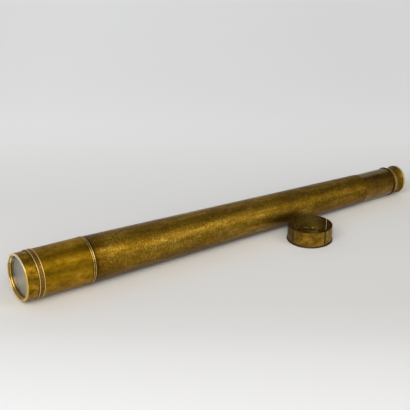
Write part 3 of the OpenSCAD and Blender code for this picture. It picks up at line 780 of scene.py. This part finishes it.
def table_paper():
    """Pale studio paper: a painted pool of light at the front, painted shade by the telescope, lighter again at
    the back.
    """
    material = bpy.data.materials.new("table_paper")
    material.use_nodes = True
    tree = material.node_tree
    shader = tree.nodes["Principled BSDF"]
    where = add_node(tree, "ShaderNodeTexCoord").outputs["Object"]
    away = add_node(
        tree, "ShaderNodeVectorMath", {0: where, 1: (math.sin(PAPER_TURN), math.cos(PAPER_TURN), 0)},
        operation="DOT_PRODUCT",
    )
    across = add_node(
        tree, "ShaderNodeVectorMath", {0: where, 1: (math.cos(PAPER_TURN), -math.sin(PAPER_TURN), 0)},
        operation="DOT_PRODUCT",
    )
    place = add_node(
        tree, "ShaderNodeMapRange",
        {"Value": away.outputs["Value"], "From Min": PAPER_NEAR, "From Max": PAPER_FAR},
    )
    # Painted light: paler at the front, painted shade by the telescope, lighter again towards the back
    shade = add_node(
        tree, "ShaderNodeValToRGB", {"Fac": place.outputs["Result"]},
        stops=[(0.0, "#ebebeb"), (0.05, "#e4e4e3"), (0.085, "#dcdbda"), (0.12, "#d9d8d6"), (0.16, "#dbdad8"),
               (0.3, "#dfdfde"), (0.38, "#e5e5e5"), (0.48, "#ebebec"), (1.0, "#f2f3f4")],
    )
    left, right = PAPER_SIDES
    # Painted shade: darker from left to right
    side_shade = add_node(
        tree, "ShaderNodeMapRange",
        {"Value": across.outputs["Value"], "From Min": PAPER_MIDDLE - PAPER_HALF,
         "From Max": PAPER_MIDDLE + PAPER_HALF, "To Min": left, "To Max": right},
    )
    side_shaded = add_node(
        tree, "ShaderNodeVectorMath", {0: shade.outputs["Color"], 1: side_shade.outputs["Result"]},
        operation="MULTIPLY",
    )
    # Close to the telescope the brass throws a warm light on the paper, which the renderer leaves out
    parts = add_node(tree, "ShaderNodeSeparateXYZ", {"Vector": where})
    aside = add_node(tree, "ShaderNodeMath", {0: parts.outputs["Y"], 1: face.y}, operation="SUBTRACT")
    off_axis = add_node(tree, "ShaderNodeMath", {0: aside.outputs[0]}, operation="ABSOLUTE")
    along = add_node(tree, "ShaderNodeMath", {0: parts.outputs["X"]}, operation="ABSOLUTE")
    beyond = add_node(
        tree, "ShaderNodeMath", {0: along.outputs[0], 1: cad_box[1][0] - WARM_SHORT}, operation="SUBTRACT",
    )
    past_end = add_node(tree, "ShaderNodeMath", {0: beyond.outputs[0], 1: 0.0}, operation="MAXIMUM")
    gap = add_node(
        tree, "ShaderNodeMath", {0: past_end.outputs[0], 1: off_axis.outputs[0]}, operation="ADD",
    )
    close = add_node(
        tree, "ShaderNodeMapRange", {"Value": gap.outputs[0], "From Min": WARM_GONE, "From Max": WARM_FULL},
    )
    colour = coats(tree, side_shaded.outputs[0], [("MULTIPLY", WARM_PAPER, close.outputs["Result"])])
    tree.links.new(colour, shader.inputs["Base Color"])
    shader.inputs["Roughness"].default_value = 0.9
    shader.inputs["Specular IOR Level"].default_value = 0.1
    # The paper is brighter to the eye far off, and in glass and metal, and lights nothing with it
    rays = add_node(tree, "ShaderNodeLightPath").outputs
    straight = add_node(
        tree, "ShaderNodeMath", {0: rays["Is Camera Ray"], 1: rays["Is Glossy Ray"]}, operation="MAXIMUM",
    )
    seen = add_node(
        tree, "ShaderNodeMath", {0: straight.outputs[0], 1: rays["Is Transmission Ray"]},
        operation="MAXIMUM",
    )
    glow = add_node(
        tree, "ShaderNodeValToRGB", {"Fac": place.outputs["Result"]},
        stops=[(0.27, 0.0), (0.36, 0.03), (0.43, 0.07), (0.6, 0.085), (1.0, 0.155)],
    )
    shine = add_node(
        tree, "ShaderNodeMath", {0: seen.outputs[0], 1: glow.outputs["Color"]}, operation="MULTIPLY",
    )
    shader.inputs["Emission Color"].default_value = linear("#ffffff")
    tree.links.new(shine.outputs[0], shader.inputs["Emission Strength"])
    return material


def make_sweep():
    """The paper on the table, bent up behind it."""
    profile = [(SWEEP_FRONT, 0.0), (SWEEP_BEND, 0.0)]
    for i in range(1, BEND_STEPS + 1):
        angle = i / BEND_STEPS * math.pi / 2
        profile.append((
            SWEEP_BEND + SWEEP_RADIUS * math.sin(angle), SWEEP_RADIUS * (1 - math.cos(angle)),
        ))
    profile.append((SWEEP_BEND + SWEEP_RADIUS, SWEEP_TOP))
    points = [(x, y, z) for y, z in profile for x in (-SWEEP_SIDE, SWEEP_SIDE)]
    faces = [(2 * i, 2 * i + 1, 2 * i + 3, 2 * i + 2) for i in range(len(profile) - 1)]
    mesh = bpy.data.meshes.new("sweep")
    mesh.from_pydata(points, [], faces)
    mesh.shade_smooth()
    mesh.materials.append(table_paper())
    sweep = bpy.data.objects.new("sweep", mesh)
    bpy.context.scene.collection.objects.link(sweep)


# Name, place, what it points at, width, height, radiance of its face, colour, roll in degrees
SOFTBOXES = [
    ("front_left", (-1.8, -1.5, 1.65), (0, 0, 0), 2.8, 2.0, 4.3, "#ffffff", 0),
    ("front_right", (0.84, -1.5, 1.2), (0.2, 0, 0), 0.6, 2.0, 3.1, "#fffaf2", 14),
    ("over_back", (1.7, 1.5, 2.2), (0.9, 1.2, 0), 1.6, 0.9, 0.6, "#ffffff", 0),
]


def add_softbox(name, place, target, width, height, radiance, colour, roll):
    """A rectangular soft light that shines with the same radiance from its whole face."""
    data = bpy.data.lights.new(name, "AREA")
    data.shape = "RECTANGLE"
    data.size = width
    data.size_y = height
    data.energy = radiance * math.pi * width * height
    data.color = linear(colour)[:3]
    lamp = bpy.data.objects.new(name, data)
    lamp.location = place
    aim = (Vector(target) - Vector(place)).to_track_quat("-Z", "Y").to_matrix()
    lamp.rotation_euler = (aim @ Matrix.Rotation(math.radians(roll), 3, "Z")).to_euler()
    bpy.context.scene.collection.objects.link(lamp)


def light_studio():
    """A high softbox on the left, a small one at the front right, one over the back, and a dim room that is
    lighter on the left, at the back and overhead."""
    for softbox in SOFTBOXES:
        add_softbox(*softbox)
    world = bpy.data.worlds.new("room")
    world.use_nodes = True
    tree = world.node_tree
    where = add_node(tree, "ShaderNodeTexCoord")
    parts = add_node(tree, "ShaderNodeSeparateXYZ", {"Vector": where.outputs["Generated"]})
    ceiling = bands(tree, parts.outputs["X"], [
        (0.3, 0.36), (0.42, 0.33), (0.51, 0.25), (0.58, 0.155), (0.65, 0.12),
    ])
    back = add_node(
        tree, "ShaderNodeMapRange", {"Value": parts.outputs["Y"], "From Min": 0.3, "From Max": 0.75},
    )
    left = bands(tree, parts.outputs["X"], [(0.34, 0.22), (0.46, 0.09)])
    glow = add_node(tree, "ShaderNodeMath", {0: back.outputs["Result"], 1: left}, operation="MULTIPLY")
    height = add_node(
        tree, "ShaderNodeMapRange",
        {"Value": parts.outputs["Z"], "From Min": 0.0, "From Max": 0.45, "To Min": 0.3, "To Max": 1.0},
    )
    shade = add_node(
        tree, "ShaderNodeMath", {0: ceiling, 1: height.outputs["Result"], 2: glow.outputs[0]},
        operation="MULTIPLY_ADD",
    )
    background = tree.nodes["Background"]
    tree.links.new(shade.outputs[0], background.inputs["Color"])
    bpy.context.scene.world = world
    bpy.context.scene.view_settings.view_transform = "Standard"


dress_nodes()
cell_with_soft_edges()
set_camera()
make_sweep()
light_studio()
